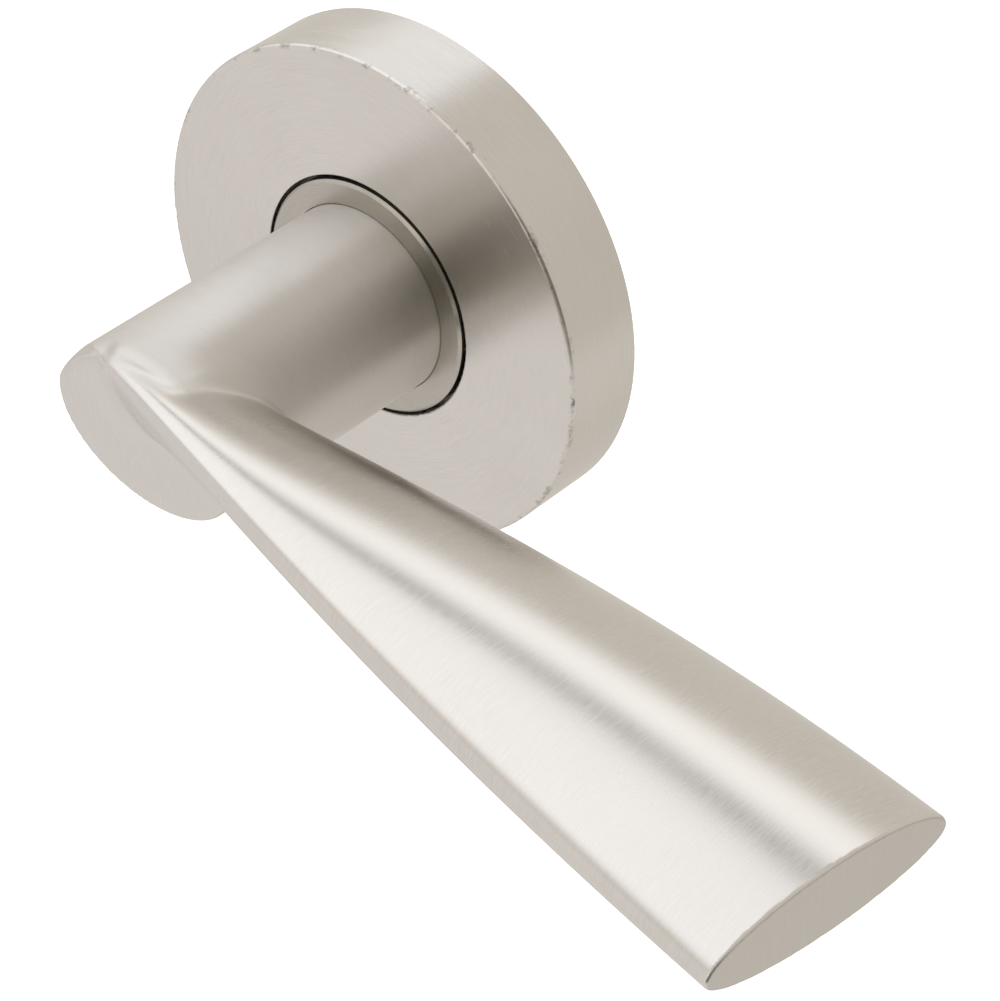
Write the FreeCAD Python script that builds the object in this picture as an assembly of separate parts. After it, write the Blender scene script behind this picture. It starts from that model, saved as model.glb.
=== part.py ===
import FreeCAD, Part
import math
import os

# Door lever handle on a round rose, in millimetres.
# The origin is the centre of the rose on the door face. The door face is the plane Y = 0.
# -Y points away from the door to the user, +Z is up, and the lever's blade lies along +X.
# A depth is a distance from the door face towards the user, so a depth d is at Y = -d.

Vec = FreeCAD.Vector

# --- rose ---
ROSE_R = 30.0            # outer radius of the push-on cover
ROSE_DEPTH = 10.5        # door face to the front face of the cover
COVER_WALL = 1.2         # sheet thickness of the cover
COVER_BACK = 0.2         # gap between the cover's rear edge and the door
COVER_EDGE_R = 0.45      # worn front edge of the cover
COVER_HOLE_R = 14.65     # hole in the cover's face
BASE_R = 28.5            # base plate under the cover
BASE_DEPTH = 7.5         # door face to the front of the base plate
CHAMBER_R = 14.8         # spring chamber in the back of the base plate
WEB_BACK = 5.0           # depth of the chamber's floor
BORE_R = 9.5             # bore of the base plate, which holds the bush

# --- fixing to the door ---
FIX_SPACING = 38.0       # centre to centre of the two fixing posts
POST_R = 3.5             # outside radius of a post
POST_THREAD_R = 1.65     # core of the M4 thread
POST_TAIL = 5.0          # length of a post that stands into the door
POST_FRONT = 6.5         # depth of the post's blind front end

# --- lever ---
NECK_R = 11.35           # round neck
SHOULDER = 8.1           # depth where the neck steps down to the journal
JOURNAL_R = 8.0          # part of the lever that turns in the bush
JOURNAL_BACK = 1.1       # depth of the journal's rear end
RING_R = 14.2            # fixed trim ring round the neck
RING_BORE_R = 11.45
RING_FRONT = 10.8
END_POINT = Vec(-4.43, -44.2, -5.73)    # a point on the sloping end face of the neck
END_NORMAL = Vec(0.08, -0.976, -0.204)  # outward normal of that face
BLADE_LEN = 97.4         # neck axis to the middle of the blade's tip
TIP_ANGLE = 4.6          # the tip is cut off this many degrees out of square

# --- blade section: root, middle and tip values of each law ---
HALF_WIDTH = (8.2, 14.45, 16.6)         # half of the section's long axis
THICK_UPPER = (4.4, 5.75, 4.55)        # thickness above the long axis
THICK_LOWER = (3.1, 6.75, 3.75)         # thickness below the long axis
CENTRE_Y = (-43.5, -47.2, -54.3)
CENTRE_Z = (4.65, 1.6, 0.15)
TWIST_ROOT = 51.85       # slope of the long axis at the neck; it leans up towards the user
TWIST_TIP = -2.85        # slope that the twist dies away to
TWIST_LENGTH = 43.2      # distance in which most of the twist dies away
EGG = (-0.39, 0.09)      # root and tip: positive is thicker on the door side
STATIONS = (-12.0, 0.0, 11.0, 22.0, 34.0, 48.0, 64.0, 82.0, 101.0)
SECTION_POINTS = 40

# --- spring cassette and the parts that turn with the lever ---
SPRING_WIRE_R = 0.55
SPRING_R = 11.4          # mean radius of the coil
SPRING_BACK = 1.7        # depth of the rearmost coil's centre
SPRING_PITCH = 1.2
PLATE_DEPTH = 0.8        # rear plate that closes the chamber
PLATE_R = 17.8
PIN_R = 1.2
PIN_RING_R = 13.3        # radius at which the stop pins stand
CAM_BACK = 3.5
CAM_FRONT = 4.5
CAM_LUG_HALF = 9.0       # half the angle of the stop lug
CIRCLIP_R = 7.4          # floor of the circlip's groove in the journal
CIRCLIP_BACK = 2.1
CIRCLIP_FRONT = 3.1
TURN = 45.0              # travel of the lever, pressed down
ANCHOR_ANGLE = 160.0     # place of the pin that holds the spring's fixed leg
TAB_ANGLE = 250.0        # near edge of the cam's tab, which pushes the spring's other leg
STOP_SLACK = 1.5         # degrees between the lug and a pin at each end of the travel
SPINDLE_SIDE = 8.0
SPINDLE_CLEAR = 0.05
SPINDLE_FRONT = 26.0
SPINDLE_TAIL = 17.0
GRUB_DEPTH = 20.0
GRUB_R = 2.5


def disc(radius, back, front):
    """Solid cylinder on the lever's axis between two depths."""
    return Part.makeCylinder(radius, front - back, Vec(0, -back, 0), Vec(0, -1, 0))


def ring(outer, inner, back, front):
    """Plain ring on the lever's axis between two depths."""
    return disc(outer, back, front).cut(disc(inner, back - 1, front + 1))


def rod(radius, x, z, back, front):
    """Cylinder parallel to the lever's axis."""
    return Part.makeCylinder(radius, front - back, Vec(x, -back, z), Vec(0, -1, 0))


def block(x0, x1, z0, z1, back, front):
    """Box between two depths."""
    return Part.makeBox(x1 - x0, front - back, z1 - z0, Vec(x0, -front, z0))


def polar(radius, degrees):
    """X and Z of a point at an angle about the axis, from +X towards +Z."""
    a = math.radians(degrees)
    return radius * math.cos(a), radius * math.sin(a)


def circle_edges(shape, radius, depth):
    """The circular edges of one radius at one depth."""
    found = []
    for edge in shape.Edges:
        curve = edge.Curve
        if isinstance(curve, Part.Circle) and abs(curve.Radius - radius) < 1e-6:
            if abs(curve.Center.y + depth) < 1e-6:
                found.append(edge)
    return found


# ---------------------------------------------------------------- lever

def three_point(values, x):
    """Quadratic through the root, middle and tip values of a law."""
    s = x / BLADE_LEN
    root, middle, tip = values
    return root * (1 - 2 * s) * (1 - s) + middle * 4 * s * (1 - s) + tip * s * (2 * s - 1)


def blade_section(x):
    """Closed curve of the blade at one distance from the neck's axis."""
    s = x / BLADE_LEN
    half_w = three_point(HALF_WIDTH, x)
    upper_t = three_point(THICK_UPPER, x)
    lower_t = three_point(THICK_LOWER, x)
    cy = three_point(CENTRE_Y, x)
    cz = three_point(CENTRE_Z, x)
    egg = EGG[0] + (EGG[1] - EGG[0]) * s
    twist = TWIST_TIP + (TWIST_ROOT - TWIST_TIP) * math.exp(-max(x, -9.0) / TWIST_LENGTH)
    sin_t = math.sin(math.radians(twist))
    cos_t = math.cos(math.radians(twist))
    points = []
    for i in range(SECTION_POINTS):
        a = 2 * math.pi * i / SECTION_POINTS
        along = half_w * math.cos(a)
        thick = upper_t if math.sin(a) > 0 else lower_t
        across = thick * math.sin(a) * (1 + egg * math.cos(a))
        points.append(Vec(x, cy - cos_t * along + sin_t * across, cz + sin_t * along + cos_t * across))
    curve = Part.BSplineCurve()
    curve.interpolate(Points=points, PeriodicFlag=True)
    middle = curve.parameter(points[SECTION_POINTS // 2])
    upper = curve.toShape(curve.FirstParameter, middle)
    lower = curve.toShape(middle, curve.LastParameter)
    return Part.Wire([upper, lower])


def half_space(point, normal, size=200.0):
    """Big block that fills the side of a plane its normal points to."""
    solid = Part.makeBox(size, size, size, Vec(-size / 2, -size / 2, 0))
    place = FreeCAD.Placement(point, FreeCAD.Rotation(Vec(0, 0, 1), normal))
    return solid.transformed(place.toMatrix())


def blade_solid():
    """Twisted blade, cut off at the tip. Left of the axis it stays inside the neck's round outline."""
    loft = Part.makeLoft([blade_section(x) for x in STATIONS], True, False)
    lean = math.radians(TIP_ANGLE)
    tip_mid = Vec(BLADE_LEN, CENTRE_Y[2], 0)
    loft = loft.cut(half_space(tip_mid, Vec(math.cos(lean), -math.sin(lean), 0)))
    left_box = Part.makeBox(40, 90, 60, Vec(-40, -80, -30))
    right = loft.cut(left_box)
    left = loft.common(left_box).common(disc(NECK_R, 20, 70))
    return right.fuse(left)


def make_lever_handle():
    """Neck, blade and journal in one casting, with a square socket and a grub screw hole."""
    neck = disc(NECK_R, SHOULDER, 60).cut(half_space(END_POINT, END_NORMAL))
    body = neck.fuse(blade_solid())
    body = body.fuse(disc(JOURNAL_R, JOURNAL_BACK, SHOULDER + 1))
    half = SPINDLE_SIDE / 2 + SPINDLE_CLEAR
    body = body.cut(block(-half, half, -half, half, 0, SPINDLE_FRONT + 0.5))
    body = body.cut(grub_hole())
    body = body.cut(ring(JOURNAL_R + 1, CIRCLIP_R, CIRCLIP_BACK, CIRCLIP_FRONT))
    return body.Solids[0]


def grub_hole():
    """Tapped hole from below the neck to the spindle."""
    return Part.makeCylinder(GRUB_R + 0.05, NECK_R + 1, Vec(0, -GRUB_DEPTH, 0), Vec(0, 0, -1))


def make_grub_screw():
    """Cup-point screw with a hexagon socket; it clamps the spindle from below."""
    top = -SPINDLE_SIDE / 2
    length = NECK_R - SPINDLE_SIDE / 2 - 0.6
    body = Part.makeCylinder(GRUB_R, length, Vec(0, -GRUB_DEPTH, top - length), Vec(0, 0, 1))
    corners = [Vec(*hex_corner(i, 1.45, -GRUB_DEPTH, top - length)) for i in range(7)]
    socket = Part.Face(Part.makePolygon(corners)).extrude(Vec(0, 0, 2.5))
    return body.cut(socket)


def hex_corner(i, radius, y, z):
    a = math.radians(60 * i)
    return radius * math.cos(a), y + radius * math.sin(a), z


def make_spindle():
    """Square spindle with small chamfers on its rear end."""
    half = SPINDLE_SIDE / 2
    bar = block(-half, half, -half, half, -SPINDLE_TAIL, SPINDLE_FRONT)
    rear = [e for e in bar.Edges if abs(e.CenterOfMass.y - SPINDLE_TAIL) < 1e-6]
    return bar.makeChamfer(0.8, rear)


def make_circlip():
    """Open snap ring in the journal's groove, with two eyes."""
    clip = ring(9.3, CIRCLIP_R, CIRCLIP_BACK + 0.05, CIRCLIP_FRONT - 0.05)
    clip = clip.cut(block(-1.2, 1.2, -12, 0, 0, 6))
    for side in (-1, 1):
        ear = rod(1.15, side * 2.5, -9.0, CIRCLIP_BACK + 0.05, CIRCLIP_FRONT - 0.05)
        ear = ear.cut(disc(JOURNAL_R, 0, 6))
        clip = clip.fuse(ear).cut(rod(0.45, side * 2.5, -9.2, 0, 6))
    return clip.removeSplitter()


def make_shim_washer():
    """Thin washer that takes up the play between the cam and the circlip."""
    return ring(9.4, JOURNAL_R + 0.05, CIRCLIP_FRONT, CAM_BACK - 0.05)


def make_drive_cam():
    """Plate keyed to the journal: one lug works between the stop pins, one tab pushes the spring."""
    plate = disc(10.4, CAM_BACK, CAM_FRONT)
    plate = plate.fuse(sector(14.3, 90 - CAM_LUG_HALF, 90 + CAM_LUG_HALF, CAM_BACK, CAM_FRONT))
    plate = plate.fuse(sector(14.3, TAB_ANGLE, TAB_ANGLE + 12, CAM_BACK, CAM_FRONT))
    tab = sector(14.3, TAB_ANGLE, TAB_ANGLE + 12, PLATE_DEPTH + 0.3, CAM_FRONT)
    plate = plate.fuse(tab.cut(disc(12.4, 0, CAM_BACK)))
    return plate.cut(disc(JOURNAL_R, 0, 10)).removeSplitter()


def sector(radius, start, end, back, front):
    """Wedge of a disc between two angles."""
    x0, z0 = polar(radius, start)
    x1, z1 = polar(radius, end)
    xm, zm = polar(radius, (start + end) / 2)
    axis = Vec(0, -back, 0)
    first = Vec(x0, -back, z0)
    last = Vec(x1, -back, z1)
    arc = Part.Arc(first, Vec(xm, -back, zm), last).toShape()
    wire = Part.Wire([Part.makeLine(axis, first), arc, Part.makeLine(last, axis)])
    return Part.Face(wire).extrude(Vec(0, back - front, 0))


# ---------------------------------------------------------------- rose

def make_base_plate():
    """Die-cast plate with a spring chamber at the back and a groove round its rim."""
    base = disc(BASE_R, 0, BASE_DEPTH)
    base = base.makeChamfer(0.6, circle_edges(base, BASE_R, BASE_DEPTH))
    base = base.cut(disc(PLATE_R + 0.1, 0, PLATE_DEPTH))
    base = base.cut(disc(CHAMBER_R, 0, WEB_BACK))
    base = base.cut(disc(BORE_R, 0, BASE_DEPTH + 1))
    base = base.cut(ring(BASE_R + 1, BASE_R - 1.8, 2.6, 4.8))
    for side in (-1, 1):
        x = side * FIX_SPACING / 2
        base = base.fuse(rod(POST_R + 1.4, x, 0, 0, PLATE_DEPTH))
        base = base.cut(rod(POST_R, x, 0, 0, POST_FRONT))
    for x, z in plate_screw_places():
        base = base.cut(rod(0.8, x, z, 0, 4.4))
    for angle in pin_angles():
        x, z = polar(PIN_RING_R, angle)
        base = base.cut(rod(PIN_R, x, z, 0, WEB_BACK + 1.6))
    for angle in (0, 60, 120, 180, 240, 300):
        x, z = polar(22.6, angle + 30)
        base = base.cut(rod(2.6, x, z, 1.4, BASE_DEPTH + 1).cut(disc(BASE_R, 0, 3.0)))
    return base.Solids[0]


def pin_angles():
    """Rest stop, travel stop and spring anchor, as angles about the axis."""
    half_pin = math.degrees(PIN_R / PIN_RING_R)
    gap = CAM_LUG_HALF + half_pin + STOP_SLACK
    return 90 + gap, 90 - gap - TURN, ANCHOR_ANGLE


def plate_screw_places():
    return [polar(16.3, a) for a in (52, 128, 232, 308)]


def make_pin(angle):
    """Steel pin pressed into the web from the chamber side."""
    x, z = polar(PIN_RING_R, angle)
    return rod(PIN_R, x, z, PLATE_DEPTH + 0.2, WEB_BACK + 1.6)


def make_fixing_post(side):
    """Threaded post that a bolt from the other side of the door screws into."""
    x = side * FIX_SPACING / 2
    post = rod(POST_R, x, 0, -POST_TAIL, POST_FRONT)
    rim = [e for e in post.Edges if abs(e.CenterOfMass.y - POST_TAIL) < 1e-6]
    post = post.makeChamfer(0.4, rim)
    return post.cut(rod(POST_THREAD_R, x, 0, -POST_TAIL - 1, POST_FRONT - 1.5))


def make_bearing_bush():
    return ring(BORE_R, JOURNAL_R + 0.06, 4.7, BASE_DEPTH)


def make_thrust_washer():
    return ring(11.0, JOURNAL_R + 0.2, BASE_DEPTH, BASE_DEPTH + 0.5)


def make_trim_ring():
    """Fixed collar round the neck, with a narrow bevel on its outer front edge."""
    collar = ring(RING_R, RING_BORE_R, BASE_DEPTH, RING_FRONT)
    collar = collar.makeChamfer(0.32, circle_edges(collar, RING_R, RING_FRONT))
    return collar


def make_grip_ring():
    """Rubber ring in the rim groove; it holds the push-on cover by friction."""
    section = 1.0
    return Part.makeTorus(BASE_R + 0.25 - section, section, Vec(0, -3.7, 0), Vec(0, 1, 0))


def make_spring_plate():
    """Thin plate that closes the spring chamber, cleared round the two posts."""
    plate = disc(PLATE_R, 0, PLATE_DEPTH).cut(disc(7.0, -1, 2))
    for side in (-1, 1):
        plate = plate.cut(rod(POST_R + 1.5, side * FIX_SPACING / 2, 0, -1, 2))
    for x, z in plate_screw_places():
        plate = plate.cut(screw_head(x, z)).cut(rod(0.8, x, z, -1, 2))
    return plate.Solids[0]


def screw_head(x, z):
    """Countersunk head, flush with the plate's rear face."""
    return Part.makeCone(1.35, 0.8, 0.6, Vec(x, 0, z), Vec(0, -1, 0))


def make_plate_screws():
    """Four identical countersunk screws, each a separate solid."""
    screws = []
    for x, z in plate_screw_places():
        screw = screw_head(x, z).fuse(rod(0.8, x, z, 0.3, 4.2))
        screws.append(screw.cut(block(x - 0.16, x + 0.16, z - 1.0, z + 1.0, -1, 0.35)).removeSplitter())
    return Part.makeCompound(screws)


def make_return_spring():
    """Torsion spring: a flat coil with two legs, one on the anchor pin and one on the cam's tab."""
    wire_path = spring_path()
    start = wire_path.Edges[0]
    direction = start.tangentAt(start.FirstParameter)
    circle = Part.makeCircle(SPRING_WIRE_R, start.valueAt(start.FirstParameter), direction)
    return Part.Wire(wire_path).makePipeShell([Part.Wire(circle)], True, True)


def spring_path():
    """Smooth line of the spring wire from the fixed leg round the coil to the driven leg."""
    first = ANCHOR_ANGLE + 6.6
    last = TAB_ANGLE - 1.6 + 360
    points = []
    steps = 72
    for i in range(steps + 1):
        share = i / steps
        angle = first + (last - first) * share
        depth = SPRING_BACK + SPRING_PITCH * (angle - first) / 360
        leg = max(0.0, 1 - 12 * share) + max(0.0, 12 * share - 11)
        radius = SPRING_R + 2.2 * leg * leg
        x, z = polar(radius, angle)
        points.append(Vec(x, -depth, z))
    curve = Part.BSplineCurve()
    curve.interpolate(points)
    return Part.Wire([curve.toShape()])


# ---------------------------------------------------------------- cover

def make_rose_cover():
    """Drawn sheet cover: a shallow cup with a round hole, pushed over the base plate."""
    shell = disc(ROSE_R, COVER_BACK, ROSE_DEPTH)
    shell = shell.cut(disc(ROSE_R - COVER_WALL, COVER_BACK - 1, ROSE_DEPTH - COVER_WALL))
    shell = shell.cut(disc(COVER_HOLE_R, 0, ROSE_DEPTH + 1))
    shell = shell.makeFillet(COVER_EDGE_R, circle_edges(shell, ROSE_R, ROSE_DEPTH))
    shell = shell.makeFillet(0.2, circle_edges(shell, COVER_HOLE_R, ROSE_DEPTH))
    return shell


def main():
    rest_angle, travel_angle, anchor_angle = pin_angles()
    nodes = {
        "base_plate": make_base_plate(),
        "fixing_post_left": make_fixing_post(-1),
        "fixing_post_right": make_fixing_post(1),
        "bearing_bush": make_bearing_bush(),
        "thrust_washer": make_thrust_washer(),
        "trim_ring": make_trim_ring(),
        "cover_grip_ring": make_grip_ring(),
        "spring_plate": make_spring_plate(),
        "spring_plate_screws": make_plate_screws(),
        "rest_stop_pin": make_pin(rest_angle),
        "travel_stop_pin": make_pin(travel_angle),
        "spring_anchor_pin": make_pin(anchor_angle),
        "return_spring": make_return_spring(),
        "rose_cover": make_rose_cover(),
        "lever_handle": make_lever_handle(),
        "drive_cam": make_drive_cam(),
        "shim_washer": make_shim_washer(),
        "circlip": make_circlip(),
        "spindle": make_spindle(),
        "grub_screw": make_grub_screw(),
    }
    os.makedirs("parts", exist_ok=True)
    for name, shape in nodes.items():
        shape.exportStep("parts/" + name + ".step")


main()
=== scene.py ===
import bpy
import math
import numpy as np
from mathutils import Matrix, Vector


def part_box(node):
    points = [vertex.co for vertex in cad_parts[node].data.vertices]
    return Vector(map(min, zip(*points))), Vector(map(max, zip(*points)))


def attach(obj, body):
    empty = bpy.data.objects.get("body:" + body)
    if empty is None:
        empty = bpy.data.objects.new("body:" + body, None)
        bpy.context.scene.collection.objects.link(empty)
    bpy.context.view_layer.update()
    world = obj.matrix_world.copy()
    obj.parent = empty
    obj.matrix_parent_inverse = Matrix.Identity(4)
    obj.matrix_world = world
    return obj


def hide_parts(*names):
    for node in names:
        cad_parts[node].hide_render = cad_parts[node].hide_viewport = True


# Door lever handle on a round rose, in brushed stainless steel.
# The frame's origin is the centre of the rose on the door face; -Y points away from the door,
# +Z is up and the blade lies along +X. Blender works in metres; the lever's shape is worked out
# in millimetres and scaled by MM when it becomes a mesh.

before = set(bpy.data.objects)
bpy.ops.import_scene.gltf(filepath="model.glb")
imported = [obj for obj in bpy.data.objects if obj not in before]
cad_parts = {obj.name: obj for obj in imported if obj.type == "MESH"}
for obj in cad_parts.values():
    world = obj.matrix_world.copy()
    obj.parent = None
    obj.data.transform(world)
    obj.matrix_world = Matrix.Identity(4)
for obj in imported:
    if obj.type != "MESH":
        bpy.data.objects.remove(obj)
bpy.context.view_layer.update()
MM = 0.001

# --- lever sizes, in millimetres ---
lever_low, lever_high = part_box("lever_handle")
NECK_R = -lever_low[2] / MM                  # the neck is the lowest part of the lever
SHOULDER = 8.1                               # depth where the neck begins
END_POINT = (-4.43, -44.2, -5.73)            # a point on the neck's sloping end face
END_NORMAL = (0.08, -0.976, -0.204)
BLADE_LEN = 97.4
TIP_ANGLE = math.radians(4.6)                # the tip is cut this much out of square
SOCKET_HALF = 4.05
SOCKET_DEPTH = 26.5
GRUB_DEPTH = 20.0
GRUB_HOLE_R = 2.55
JOURNAL_R = 8.0
JOURNAL_BACK = 1.1                           # depth of the journal's back end
BACK_ROUND = 0.35                            # round on that end
GROOVE = (2.1, 3.1)                          # depths of the circlip groove
GROOVE_R = 7.4

# Blade section laws: values at the neck axis, half way and at the tip.
HALF_WIDTH = (8.2, 14.45, 16.6)
THICK_UPPER = (4.4, 5.75, 4.55)
THICK_LOWER = (3.1, 6.75, 3.75)
CENTRE_Y = (-43.5, -47.2, -54.3)
CENTRE_Z = (4.65, 1.6, 0.15)
TWIST_ROOT, TWIST_TIP = 51.85, -2.85         # degrees
TWIST_LENGTH = 43.2                          # length over which the twist falls off
TWIST_START = -9.0                           # the twist stays the same before this
EGG_ROOT, EGG_TIP = -0.39, -0.05             # below 0 the section is fuller on the door side

EDGE_R = 0.35                                # worn round on the lever's edges
SMALL_R = 0.2                                # round on the shoulder and the grub screw's hole
CROWN_R = 2.4                                # round over the top of the flat end
CREASE = 0.35                                # crease between the blade and the flat end
FILLET = 1.2                                 # softness of the hollow in the inner corner
GRID = 0.3            # spacing of the grid the lever's surface is found on


def add_object(name, data):
    made = bpy.data.objects.new(name, data)
    bpy.context.scene.collection.objects.link(made)
    return made


# ------------------------------------------------------------------ the lever's surface

def three_point(values, s):
    """Quadratic through the root, middle and tip values."""
    root, middle, tip = values
    return root * (1 - 2 * s) * (1 - s) + middle * 4 * s * (1 - s) + tip * s * (2 * s - 1)


def smooth_step(low, high, v):
    t = np.clip((v - low) / (high - low), 0.0, 1.0)
    return t * t * (3 - 2 * t)


def round_both(a, b, r):
    """Field of the common part of two solids, with the edge between them rounded to radius r."""
    corner = np.sqrt(np.maximum(a + r, 0) ** 2 + np.maximum(b + r, 0) ** 2)
    return np.minimum(-r, np.maximum(a, b)) + corner


def soft_either(a, b, k):
    """Field of two solids joined, with a hollow of reach k where they meet."""
    k = np.maximum(k, 1e-4)
    h = np.clip(1 - np.abs(a - b) / k, 0, 1)
    return np.minimum(a, b) - h * h * k / 4


def melt(a, b, k):
    """Field of two solids run into one another, with no edge to the hollow; k is its softness."""
    k = np.maximum(k, 0.02)
    return np.minimum(a, b) - k * np.log1p(np.exp(-np.abs(a - b) / k))


def blade_field(x, y, z):
    """Signed distance, nearly, to the twisted blade."""
    s = x / BLADE_LEN
    half_w = three_point(HALF_WIDTH, s)
    centre_y = three_point(CENTRE_Y, s)
    centre_z = three_point(CENTRE_Z, s)
    egg = EGG_ROOT + (EGG_TIP - EGG_ROOT) * s
    fall = np.exp(-np.maximum(x, TWIST_START) / TWIST_LENGTH)
    twist = np.radians(TWIST_TIP + (TWIST_ROOT - TWIST_TIP) * fall)
    sin_t, cos_t = np.sin(twist), np.cos(twist)
    dy, dz = y - centre_y, z - centre_z
    along = -cos_t * dy + sin_t * dz
    across = sin_t * dy + cos_t * dz
    u = along / half_w
    swell = 1 + egg * np.clip(u, -1, 1)
    thick = np.where(across > 0, three_point(THICK_UPPER, s), three_point(THICK_LOWER, s)) * swell
    v = across / thick
    r = np.maximum(np.hypot(u, v), 0.05)
    slope_v = np.where(np.abs(u) < 1, -v * egg / (half_w * swell), 0)
    g_along = (u / half_w + v * slope_v) / r
    g_across = v / (r * thick)
    return (r - 1) / (np.hypot(g_along, g_across) + 1e-9)


def lever_field(x, y, z):
    """Signed distance, nearly, to the whole lever in front of its shoulder."""
    blade = blade_field(x, y, z)
    tip = math.cos(TIP_ANGLE) * (x - BLADE_LEN) - math.sin(TIP_ANGLE) * (y - CENTRE_Y[2])
    blade = round_both(blade, tip, EDGE_R)
    rho = np.hypot(x, z)
    neck = rho - NECK_R
    length = math.hypot(*END_NORMAL)
    end = sum(n * (v - p) for n, v, p in zip(END_NORMAL, (x, y, z), END_POINT)) / length
    front = soft_either(end, blade, CREASE + 1.6 * smooth_step(4.0, -2.0, x))
    # the rim of the flat end is nearly sharp below and rolls over into the neck at the top
    crown = smooth_step(3.5, 8.5, NECK_R * z / np.maximum(rho, 4.0)) * smooth_step(0.5, -3.5, x)
    stub = round_both(neck, front, EDGE_R + CROWN_R * crown)
    # the hollow runs along the neck, gets tighter downwards and stops short of the flat end
    reach = FILLET * (1 - 0.55 * smooth_step(6.5, 10.0, x)) * smooth_step(-1.5, 2.5, neck - end)
    body = melt(stub, blade + 0.25 * np.maximum(-x, 0) ** 2, reach)
    body = round_both(body, y + SHOULDER, SMALL_R)
    socket = np.maximum(np.maximum(np.abs(x), np.abs(z)) - SOCKET_HALF, -SOCKET_DEPTH - y)
    body = np.maximum(body, -socket)
    hole = np.maximum(np.hypot(x, y + GRUB_DEPTH) - GRUB_HOLE_R, z)
    return round_both(body, -hole, SMALL_R)


def gradient(points, step=0.02):
    grad = np.empty_like(points)
    for axis in range(3):
        ahead, behind = points.copy(), points.copy()
        ahead[:, axis] += step
        behind[:, axis] -= step
        grad[:, axis] = (lever_field(*ahead.T) - lever_field(*behind.T)) / (2 * step)
    return grad


def onto_surface(points, rounds):
    """Newton steps that put points on the surface."""
    for _ in range(rounds):
        grad = gradient(points)
        size = np.maximum((grad ** 2).sum(1), 0.05)
        shift = (lever_field(*points.T) / size)[:, None] * grad
        limit = np.minimum(1, 0.5 * GRID / np.maximum(np.linalg.norm(shift, axis=1), 1e-9))
        points = points - shift * limit[:, None]
    return points


def surface_net():
    """Points and quads of the lever's surface: one point in each grid cell the surface crosses."""
    low = np.array([-NECK_R - 1.1, -SHOULDER - 65.0, -NECK_R - 1.1])
    high = np.array([BLADE_LEN + 3.0, -SHOULDER + 1.1, NECK_R + 1.1])
    count = np.ceil((high - low) / GRID).astype(int) + 1
    axes = [low[i] + GRID * np.arange(count[i]) for i in range(3)]
    field = np.empty(count, dtype=np.float32)
    for i, x in enumerate(axes[0]):
        y, z = np.meshgrid(axes[1], axes[2], indexing="ij")
        field[i] = lever_field(np.full_like(y, x), y, z)
    inside = field < 0
    # points: the mean of the crossings on each cell's twelve edges
    cells = tuple(count - 1)
    total = np.zeros(cells + (3,), dtype=np.float32)
    hits = np.zeros(cells, dtype=np.uint8)
    for axis in range(3):
        a, b = cut(field, axis)
        crossing = (a < 0) != (b < 0)
        share = np.where(crossing, a / np.where(a == b, 1, a - b), 0)
        others = [k for k in range(3) if k != axis]
        for p in (0, 1):
            for q in (0, 1):
                part = [slice(None)] * 3
                part[others[0]] = slice(p, p + cells[others[0]])
                part[others[1]] = slice(q, q + cells[others[1]])
                cross = crossing[tuple(part)]
                total[..., axis] += np.where(cross, share[tuple(part)], 0)
                total[..., others[0]] += p * cross
                total[..., others[1]] += q * cross
                hits += cross
    used = hits > 0
    number = np.full(cells, -1, dtype=np.int64)
    number[used] = np.arange(used.sum())
    base = np.argwhere(used)
    points = low + GRID * (base + total[used] / hits[used][:, None])
    quads = []
    for axis in range(3):
        a, b = cut(inside, axis)
        others = [k for k in range(3) if k != axis]
        spot = np.argwhere(a != b)
        spot = spot[(spot[:, others[0]] > 0) & (spot[:, others[1]] > 0)]
        for other in others:
            spot = spot[spot[:, other] < cells[other]]
        corners = []
        for p, q in ((1, 1), (0, 1), (0, 0), (1, 0)):
            cell = spot.copy()
            cell[:, others[0]] -= p
            cell[:, others[1]] -= q
            corners.append(number[tuple(cell.T)])
        quad = np.stack(corners, 1)
        outward = inside[tuple(spot.T)] == (axis != 1)
        quads.append(np.where(outward[:, None], quad, quad[:, ::-1]))
    return points, np.concatenate(quads)


def cut(grid, axis):
    """The grid without its last and without its first layer along an axis."""
    first = [slice(None)] * 3
    last = [slice(None)] * 3
    first[axis] = slice(0, -1)
    last[axis] = slice(1, None)
    return grid[tuple(first)], grid[tuple(last)]


def relax(points, quads, rounds=4):
    """Evens the mesh out along the surface, and keeps it on the surface."""
    count = np.bincount(quads.ravel(), minlength=len(points)).astype(float)
    for _ in range(rounds):
        middle = points[quads].mean(1)
        mean = np.zeros_like(points)
        for corner in range(4):
            np.add.at(mean, quads[:, corner], middle)
        mean /= count[:, None]
        normal = gradient(points)
        normal /= np.linalg.norm(normal, axis=1)[:, None] + 1e-9
        shift = mean - points
        shift -= (shift * normal).sum(1)[:, None] * normal
        points = onto_surface(points + 0.7 * shift, 1)
    return points


def make_lever():
    points, quads = surface_net()
    points = onto_surface(points, 4)
    points = relax(points, quads)
    points = onto_surface(points, 2)
    normal = gradient(points)
    normal /= np.linalg.norm(normal, axis=1)[:, None] + 1e-9
    mesh = bpy.data.meshes.new("lever_body")
    mesh.from_pydata((points * MM).tolist(), [], quads.tolist())
    mesh.update()
    mesh.shade_smooth()
    mesh.normals_split_custom_set_from_vertices(normal.tolist())
    return add_object("lever_body", mesh)


lever = make_lever()
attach(lever, "lever")
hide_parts("lever_handle")


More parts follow.
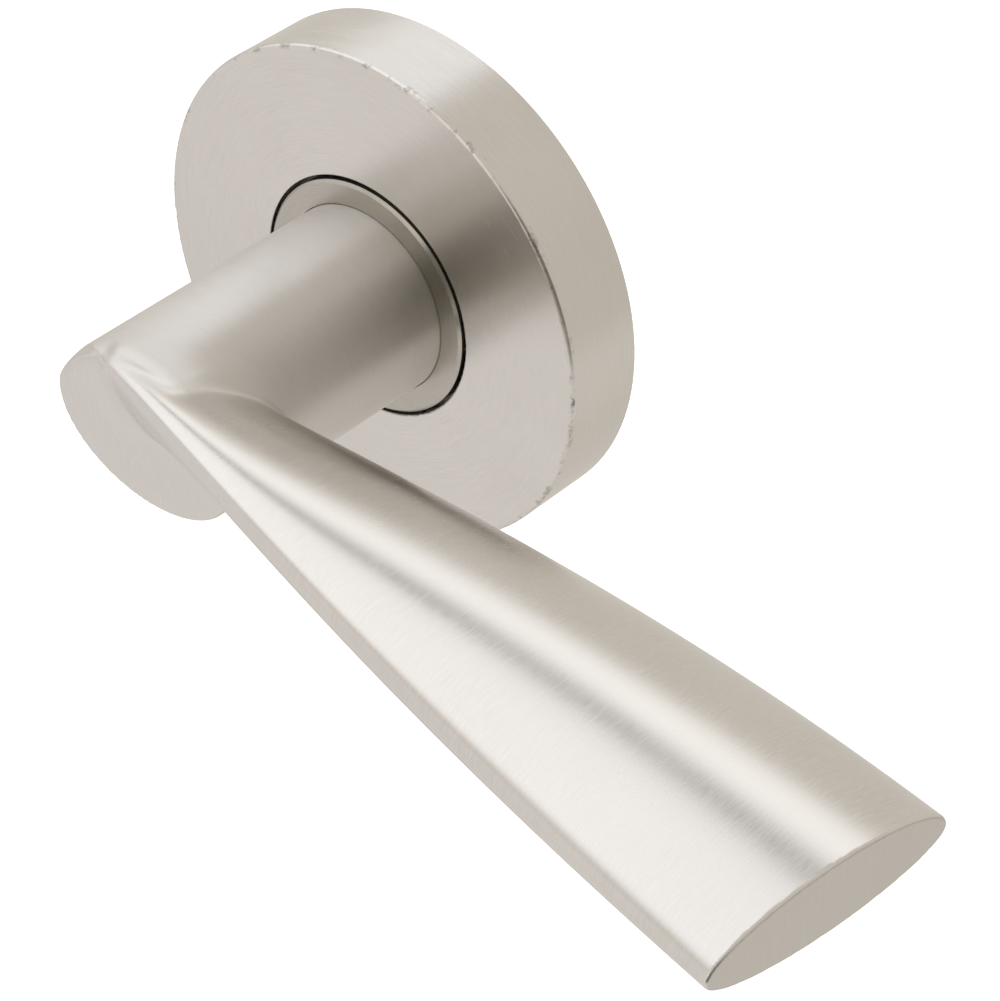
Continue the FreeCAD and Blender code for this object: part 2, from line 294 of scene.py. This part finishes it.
def make_journal():
    """The turned journal behind the shoulder, with the circlip groove and the square socket."""
    outer = [(JOURNAL_R - BACK_ROUND, JOURNAL_BACK),
             (JOURNAL_R - 0.1, JOURNAL_BACK + 0.1),
             (JOURNAL_R, JOURNAL_BACK + BACK_ROUND),
             (JOURNAL_R, GROOVE[0]), (GROOVE_R, GROOVE[0]),
             (GROOVE_R, GROOVE[1]), (JOURNAL_R, GROOVE[1]),
             (JOURNAL_R, SHOULDER)]
    turns = 128
    points, quads = [], []

    def ring(depth, radius, square):
        for i in range(turns):
            angle = 2 * math.pi * (i + 0.5) / turns
            c, s = math.cos(angle), math.sin(angle)
            r = SOCKET_HALF / max(abs(c), abs(s)) if square else radius
            points.append((r * c * MM, -depth * MM, r * s * MM))

    for radius, depth in outer:
        ring(depth, radius, False)
    ring(SHOULDER, 0.0, True)
    ring(JOURNAL_BACK, 0.0, True)
    rings = len(outer) + 2
    for k in range(rings):
        this, following = k * turns, (k + 1) % rings * turns
        for i in range(turns):
            j = (i + 1) % turns
            quads.append((this + i, this + j, following + j, following + i))
    mesh = bpy.data.meshes.new("lever_journal")
    mesh.from_pydata(points, [], quads)
    mesh.update()
    mesh.shade_smooth()
    mesh.set_sharp_from_angle(angle=math.radians(35))
    return add_object("lever_journal", mesh)


journal = make_journal()
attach(journal, "lever")
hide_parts("lever_handle")


# ------------------------------------------------------------------ materials

class Finish:
    """A node material with one Principled shader and helpers that add nodes to it."""

    def __init__(self, name, **uniform):
        self.material = bpy.data.materials.new(name)
        self.material.use_nodes = True
        self.tree = self.material.node_tree
        self.shader = self.tree.nodes["Principled BSDF"]
        for socket, value in uniform.items():
            self.shader.inputs[socket.replace("_", " ")].default_value = value

    def node(self, kind, **settings):
        made = self.tree.nodes.new(kind)
        for key, value in settings.items():
            setattr(made, key, value)
        return made

    def link(self, source, target):
        self.tree.links.new(source, target)

    def place(self):
        """The point on the piece, in metres, as three numbers."""
        split = self.node("ShaderNodeSeparateXYZ")
        self.link(self.node("ShaderNodeTexCoord").outputs["Object"], split.inputs[0])
        return split.outputs

    def maths(self, operation, *values):
        made = self.node("ShaderNodeMath", operation=operation)
        for socket, value in zip(made.inputs, values):
            if isinstance(value, (int, float)):
                socket.default_value = value
            else:
                self.link(value, socket)
        return made.outputs[0]

    def vector(self, x, y, z):
        made = self.node("ShaderNodeCombineXYZ")
        for socket, value in zip(made.inputs, (x, y, z)):
            if isinstance(value, (int, float)):
                socket.default_value = value
            else:
                self.link(value, socket)
        return made.outputs[0]

    def noise(self, where, scale, detail=2.0, rough=0.5):
        made = self.node("ShaderNodeTexNoise", noise_dimensions="3D")
        made.inputs["Scale"].default_value = scale
        made.inputs["Detail"].default_value = detail
        made.inputs["Roughness"].default_value = rough
        self.link(where, made.inputs["Vector"])
        return made.outputs["Fac"]

    def between(self, amount, low, high, from_low=0.3, from_high=0.7):
        """Maps a noise to a range of numbers."""
        made = self.node("ShaderNodeMapRange", clamp=True)
        for socket, value in zip(("From Min", "From Max", "To Min", "To Max"),
                                 (from_low, from_high, low, high)):
            made.inputs[socket].default_value = value
        self.link(amount, made.inputs["Value"])
        return made.outputs["Result"]

    def mix(self, amount, first, second):
        made = self.node("ShaderNodeMix", data_type="RGBA")
        sockets = [s for s in made.inputs if s.type == "RGBA"]
        for socket, value in zip(sockets, (first, second)):
            if isinstance(value, tuple):
                socket.default_value = (*value, 1.0)
            else:
                self.link(value, socket)
        self.link(amount, made.inputs["Factor"])
        return [s for s in made.outputs if s.type == "RGBA"][0]

    def bump(self, height, depth, below=None):
        """Bump of that depth in metres, over an earlier one where given."""
        made = self.node("ShaderNodeBump")
        made.inputs["Strength"].default_value = 1.0
        made.inputs["Distance"].default_value = depth
        self.link(height, made.inputs["Height"])
        if below:
            self.link(below, made.inputs["Normal"])
        return made.outputs["Normal"]

    def set(self, socket, value):
        self.link(value, self.shader.inputs[socket])

    def feeding(self, socket):
        """What feeds one of the shader's sockets now."""
        return self.shader.inputs[socket].links[0].from_socket


def polar_place(f, x, z):
    """Distance from the lever's axis, and the direction from it as two numbers."""
    radius = f.maths("SQRT", f.maths("ADD", f.maths("MULTIPLY", x, x), f.maths("MULTIPLY", z, z)))
    radius = f.maths("MAXIMUM", radius, 1e-5)
    return radius, f.maths("DIVIDE", x, radius), f.maths("DIVIDE", z, radius)


STEEL_LIGHT = (0.700, 0.670, 0.630)
STEEL_DARK = (0.640, 0.610, 0.570)
# The trim ring's tones are darker than the cover's steel. This is painted shade, standing in for
# the neck's reflection in the ring and the tilt of the ring's face, which the mesh doesn't have.
PAINTED_SHADE_RING_LIGHT = (0.500, 0.470, 0.415)
PAINTED_SHADE_RING_DARK = (0.440, 0.412, 0.362)
NICK = (0.36, 0.335, 0.300)
STEEL_ROUGH = (0.22, 0.28)
NECK_ROUGHER = 0.23                          # the neck is brushed more coarsely than the blade
COVER_EDGE_R = (0.02935, 0.02975)            # radii and depths where the cover's front edge is
COVER_EDGE_Y = (-0.0101, -0.0096)


def grain(f, along_1, along_2, over, turn=9.0, lines=9000.0):
    """Brushed grain, a fine and a wide one: close across the strokes and slow along them.

    along_1 and along_2 say where on the stroke, over is the distance across in metres.
    """
    noises = []
    for share_along, share_over, detail, rough in ((1.0, 1.0, 3.0, 0.6), (0.35, 0.14, 2.0, 0.5)):
        where = f.vector(f.maths("MULTIPLY", along_1, turn * share_along),
                         f.maths("MULTIPLY", along_2, turn * share_along),
                         f.maths("MULTIPLY", over, lines * share_over))
        noises.append(f.noise(where, 1.0, detail, rough))
    return noises


def finish_steel(f, fine, wide, cloud, depth, light=STEEL_LIGHT, dark=STEEL_DARK):
    """Colour, roughness and bump of satin steel from its grain and from slow clouding."""
    tone = f.maths("ADD", f.maths("MULTIPLY", fine, 0.55), f.maths("MULTIPLY", wide, 0.15))
    tone = f.maths("ADD", tone, f.maths("MULTIPLY", cloud, 0.30))
    f.set("Base Color", f.mix(f.between(tone, 0.0, 1.0, 0.36, 0.64), dark, light))
    f.set("Roughness", f.between(tone, *STEEL_ROUGH, 0.35, 0.65))
    low = f.bump(wide, depth)
    f.set("Normal", f.bump(fine, depth, low))


def rose_steel(name, light, dark):
    """Steel brushed in circles about the lever's axis, on the face and round the rim."""
    f = Finish(name, Metallic=1.0, Anisotropic=0.88, Anisotropic_Rotation=0.25)
    x, y, z = f.place()
    radius, dir_x, dir_z = polar_place(f, x, z)
    fine, wide = grain(f, dir_x, dir_z, f.maths("SUBTRACT", radius, y))
    cloud = f.noise(f.vector(x, y, z), 90.0, 3.0)
    finish_steel(f, fine, wide, cloud, 0.5e-6, light, dark)
    # small dark nicks along the front edge
    edge = f.maths("MULTIPLY", f.between(radius, 0.0, 1.0, *COVER_EDGE_R),
                   f.between(y, 1.0, 0.0, *COVER_EDGE_Y))
    nick = f.between(f.noise(f.vector(x, y, z), 650.0, 4.0, 0.7), 0.0, 0.8, 0.52, 0.64)
    worn = f.maths("MULTIPLY", edge, nick)
    f.set("Base Color", f.mix(worn, f.feeding("Base Color"), NICK))
    tangent = f.node("ShaderNodeTangent", direction_type="RADIAL", axis="Y")
    f.set("Tangent", tangent.outputs[0])
    return f.material


def lever_steel():
    """Steel brushed round the neck and across the blade, with a change over in the elbow."""
    f = Finish("lever_steel", Metallic=1.0, Anisotropic=0.80, Anisotropic_Rotation=0.25)
    x, y, z = f.place()
    radius, dir_x, dir_z = polar_place(f, x, z)
    neck_fine, neck_wide = grain(f, dir_x, dir_z, y, 7.0, 8000.0)
    # both numbers change along a stroke, so the grain doesn't go patchy where the blade is level
    turn_1 = f.maths("MULTIPLY", f.maths("ADD", y, z), 420.0)
    turn_2 = f.maths("MULTIPLY", f.maths("SUBTRACT", y, z), 420.0)
    blade_fine, blade_wide = grain(f, turn_1, turn_2, x, 1.0, 8000.0)
    geometry = f.node("ShaderNodeNewGeometry")
    to_object = f.node("ShaderNodeVectorTransform", vector_type="NORMAL",
                       convert_from="WORLD", convert_to="OBJECT")
    f.link(geometry.outputs["Normal"], to_object.inputs[0])
    normal = f.node("ShaderNodeSeparateXYZ")
    f.link(to_object.outputs[0], normal.inputs[0])
    # share of the blade's strokes: 1 on the blade and the flat end, 0 on the neck and the tip
    lean_x = f.maths("ADD", x, f.maths("MULTIPLY", f.maths("ADD", y, 0.030), -0.8))
    on_blade = f.between(lean_x, 0.0, 1.0, 0.012, 0.028)
    flat_end = f.between(f.maths("MULTIPLY", normal.outputs[1], -1.0), 0.0, 1.0, 0.70, 0.90)
    not_tip = f.between(normal.outputs[0], 1.0, 0.0, 0.80, 0.95)
    on_blade = f.maths("MULTIPLY", f.maths("MAXIMUM", on_blade, flat_end), not_tip)
    on_neck = f.maths("SUBTRACT", 1.0, on_blade)

    def crossed(neck, blade):
        return f.maths("ADD", f.maths("MULTIPLY", neck, on_neck),
                       f.maths("MULTIPLY", blade, on_blade))

    fine, wide = crossed(neck_fine, blade_fine), crossed(neck_wide, blade_wide)
    cloud = f.noise(f.vector(x, y, z), 70.0, 3.0)
    finish_steel(f, fine, wide, cloud, 0.3e-6)
    extra = f.maths("MULTIPLY", on_neck, NECK_ROUGHER)
    f.set("Roughness", f.maths("ADD", f.feeding("Roughness"), extra))

    def square_to(axis):
        made = f.node("ShaderNodeVectorMath", operation="CROSS_PRODUCT")
        f.link(to_object.outputs[0], made.inputs[0])
        made.inputs[1].default_value = axis
        return made.outputs[0]

    # direction of the strokes: round the axis on the neck, square to +X on the blade
    blend = f.node("ShaderNodeMix", data_type="VECTOR")
    f.link(on_blade, blend.inputs["Factor"])
    first, second = [s for s in blend.inputs if s.type == "VECTOR"][-2:]
    f.link(square_to((0.0, 1.0, 0.0)), first)
    f.link(square_to((1.0, 0.0, 0.0)), second)
    back = f.node("ShaderNodeVectorTransform", vector_type="VECTOR",
                  convert_from="OBJECT", convert_to="WORLD")
    f.link([s for s in blend.outputs if s.type == "VECTOR"][0], back.inputs[0])
    f.set("Tangent", back.outputs[0])
    return f.material


def small_part(name, light, dark, metallic, rough, scale, depth):
    """Finish of the small parts inside: two tones, uneven roughness and a fine bump."""
    f = Finish(name, Metallic=metallic)
    x, y, z = f.place()
    where = f.vector(x, y, z)
    coarse = f.noise(where, scale, 4.0)
    fine = f.noise(where, scale * 7, 3.0)
    f.set("Base Color", f.mix(f.between(coarse, 0.0, 1.0), dark, light))
    f.set("Roughness", f.between(fine, rough[0], rough[1]))
    f.set("Normal", f.bump(fine, depth))
    return f.material


ROSE = rose_steel("rose_steel", STEEL_LIGHT, STEEL_DARK)
# the same steel as the cover, with darker tones as painted shade on the trim ring
SHADED_RING_STEEL = rose_steel("ring_steel_painted_shade", PAINTED_SHADE_RING_LIGHT, PAINTED_SHADE_RING_DARK)
LEVER = lever_steel()

# name: light and dark tone, metallic, range of roughness, scale of the mottling, bump in metres
SMALL_PARTS = {
    "zinc_casting": ((0.52, 0.52, 0.50), (0.40, 0.40, 0.39), 0.9, (0.42, 0.62), 300.0, 2e-5),
    "zinc_plated_steel": ((0.66, 0.66, 0.63), (0.55, 0.56, 0.56), 1.0, (0.22, 0.38), 400.0, 4e-6),
    "spring_steel": ((0.30, 0.29, 0.28), (0.22, 0.22, 0.22), 1.0, (0.25, 0.40), 500.0, 3e-6),
    "black_oxide_steel": ((0.030, 0.030, 0.032), (0.018, 0.018, 0.020), 0.8, (0.35, 0.50),
                          500.0, 4e-6),
    "bearing_polymer": ((0.72, 0.69, 0.60), (0.66, 0.63, 0.55), 0.0, (0.38, 0.52), 200.0, 4e-6),
    "grip_rubber": ((0.028, 0.028, 0.028), (0.018, 0.018, 0.018), 0.0, (0.60, 0.80), 400.0, 1e-5),
}
SMALL = {name: small_part(name, *values) for name, values in SMALL_PARTS.items()}

FINISH_NODES = (
    (ROSE, ("rose_cover",)),
    (SHADED_RING_STEEL, ("trim_ring",)),
    (LEVER, ("lever_handle",)),
    (SMALL["zinc_casting"], ("base_plate",)),
    (SMALL["zinc_plated_steel"], (
        "fixing_post_left", "fixing_post_right", "spring_plate", "spring_plate_screws",
        "rest_stop_pin", "travel_stop_pin", "spring_anchor_pin", "drive_cam", "spindle")),
    (SMALL["spring_steel"], ("return_spring", "shim_washer")),
    (SMALL["black_oxide_steel"], ("circlip", "grub_screw")),
    (SMALL["bearing_polymer"], ("bearing_bush", "thrust_washer")),
    (SMALL["grip_rubber"], ("cover_grip_ring",)),
)
NODE_FINISH = {node: finish for finish, nodes in FINISH_NODES for node in nodes}
for name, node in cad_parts.items():
    node.data.materials.clear()
    node.data.materials.append(NODE_FINISH[name])
for piece in (lever, journal):
    piece.data.materials.append(LEVER)


# ------------------------------------------------------------------ floor, studio and camera

FLOOR_Z = -0.20
FLOOR_HALF = 40.0                        # half the floor's width
DOME_R = 5.0
DOME_TURNS, DOME_STEPS = 48, 12          # quads round the dome and from its foot to its top
DOME_FOOT, DOME_TOP = -5.0, 89.9         # degrees over the level


def make_floor():
    mesh = bpy.data.meshes.new("floor")
    signs = ((-1, -1), (1, -1), (1, 1), (-1, 1))
    corners = [(p * FLOOR_HALF, q * FLOOR_HALF, FLOOR_Z) for p, q in signs]
    mesh.from_pydata(corners, [], [(0, 1, 2, 3)])
    floor = add_object("floor", mesh)
    f = Finish("floor_paper", Roughness=0.9)
    x, y, z = f.place()
    fibre = f.noise(f.vector(x, y, z), 500.0, 3.0)
    f.set("Base Color", f.mix(fibre, (0.86, 0.86, 0.86), (0.88, 0.88, 0.88)))
    f.shader.inputs["Emission Color"].default_value = (1.0, 1.0, 1.0, 1.0)
    f.shader.inputs["Emission Strength"].default_value = 0.55
    mesh.materials.append(f.material)
    floor.visible_glossy = False         # the metal mirrors the studio, not the paper


def make_backdrop():
    """A plain white dome behind the floor's horizon. Only the camera sees it; it casts no light."""
    points, quads = [], []
    for k in range(DOME_STEPS + 1):
        rise = math.radians(DOME_FOOT + (DOME_TOP - DOME_FOOT) * k / DOME_STEPS)
        reach, height = DOME_R * math.cos(rise), DOME_R * math.sin(rise)
        for i in range(DOME_TURNS):
            angle = 2 * math.pi * i / DOME_TURNS
            points.append((reach * math.cos(angle), reach * math.sin(angle), height))
    for k in range(DOME_STEPS):
        this, following = k * DOME_TURNS, (k + 1) * DOME_TURNS
        for i in range(DOME_TURNS):
            j = (i + 1) % DOME_TURNS
            quads.append((this + i, following + i, following + j, this + j))
    mesh = bpy.data.meshes.new("backdrop")
    mesh.from_pydata(points, [], quads)
    dome = add_object("backdrop", mesh)
    f = Finish("backdrop_white", Roughness=1.0)
    x, y, z = f.place()
    cloud = f.noise(f.vector(x, y, z), 0.05, 2.0)
    f.set("Base Color", f.mix(cloud, (0.80, 0.80, 0.80), (0.82, 0.82, 0.82)))
    f.shader.inputs["Emission Color"].default_value = (1.0, 1.0, 1.0, 1.0)
    f.shader.inputs["Emission Strength"].default_value = 1.2
    mesh.materials.append(f.material)
    dome.visible_diffuse = False
    dome.visible_glossy = False
    dome.visible_transmission = False
    dome.visible_shadow = False


make_floor()
make_backdrop()


class Sky(Finish):
    """The studio round the object, as brightness by direction. It uses the same node helpers."""

    def __init__(self, name):
        self.world = bpy.data.worlds.new(name)
        self.world.use_nodes = True
        self.tree = self.world.node_tree
        self.shader = self.tree.nodes["Background"]

    def direction(self):
        split = self.node("ShaderNodeSeparateXYZ")
        self.link(self.node("ShaderNodeTexCoord").outputs["Generated"], split.inputs[0])
        return split.outputs

    def ramp(self, value, start, stop):
        """Smooth rise from 0 at start to 1 at stop; it falls where stop is the smaller."""
        made = self.node("ShaderNodeMapRange", interpolation_type="SMOOTHERSTEP", clamp=True)
        made.inputs["From Min"].default_value = start
        made.inputs["From Max"].default_value = stop
        self.link(value, made.inputs["Value"])
        return made.outputs["Result"]

    def both(self, *amounts):
        product = amounts[0]
        for amount in amounts[1:]:
            product = self.maths("MULTIPLY", product, amount)
        return product


WALLS = (0.765, 0.728, 0.676)            # warm grey of the room, above and behind the door side
TABLE = (0.905, 0.880, 0.870)            # the pale table in front, seen from above
FRONT = (1.120, 1.100, 1.080)            # the bright room behind the camera
SIDE = (0.830, 0.800, 0.755)             # the floor beyond the blade's tip
PANEL = (1.370, 1.390, 1.430)            # the wide white light panel on the left
PANEL_FAR = (1.560, 1.580, 1.610)        # the narrow one beyond it
SEAM = (0.120, 0.115, 0.110)             # the gap between the two panels
UNLIT = (0.210, 0.200, 0.180)            # the dark side of the room, to the right of the camera


def make_sky():
    sky = Sky("studio")
    x, y, z = sky.direction()
    table = sky.both(sky.ramp(y, 0.25, -0.15), sky.ramp(z, 0.75, 0.30))
    colour = sky.mix(table, WALLS, TABLE)
    side = sky.both(sky.ramp(x, 0.30, 0.60), sky.ramp(z, -0.20, -0.50))
    colour = sky.mix(side, colour, SIDE)
    front = sky.both(sky.ramp(y, -0.45, -0.85), sky.ramp(z, -0.35, 0.10), sky.ramp(x, -0.45, -0.20))
    colour = sky.mix(front, colour, FRONT)
    right = sky.maths("ADD", sky.maths("MULTIPLY", x, 0.82), sky.maths("MULTIPLY", y, -0.57))
    unlit = sky.both(sky.ramp(right, 0.55, 0.85), sky.ramp(z, -0.55, -0.20))
    colour = sky.mix(unlit, colour, UNLIT)
    # angle over the object from straight up towards the user, in a plane square to the blade
    lean = sky.maths("ARCTAN2", sky.maths("MULTIPLY", y, -1.0), z)
    left = sky.ramp(x, 0.0, -0.25)

    def span(start, stop, soft_start, soft_stop):
        """A band from one angle to another, in degrees, with how soft each of its ends is."""
        rise = sky.ramp(lean, math.radians(start - soft_start), math.radians(start + soft_start))
        fall = sky.ramp(lean, math.radians(stop + soft_stop), math.radians(stop - soft_stop))
        return sky.both(rise, fall, left)

    colour = sky.mix(span(-45, -35, 3, 3), colour, SEAM)
    colour = sky.mix(span(-37.5, 32, 1.5, 20), colour, PANEL)
    colour = sky.mix(span(-55, -42.5, 3, 1.5), colour, PANEL_FAR)
    sky.link(colour, sky.shader.inputs["Color"])
    bpy.context.scene.world = sky.world


make_sky()

CAMERA_AT = Vector((0.2403, -0.2637, 0.2393))
CAMERA_TARGET = Vector((0.0169, -0.0073, -0.0217))

camera_data = bpy.data.cameras.new("camera")
camera_data.sensor_width = 36.0
camera_data.lens = 137.5
camera_data.clip_start = 0.01
camera = add_object("camera", camera_data)
camera.location = CAMERA_AT
camera.rotation_euler = (CAMERA_TARGET - CAMERA_AT).to_track_quat("-Z", "Y").to_euler()
bpy.context.scene.camera = camera

bpy.context.scene.view_settings.view_transform = "Standard"
bpy.context.scene.view_settings.look = "None"
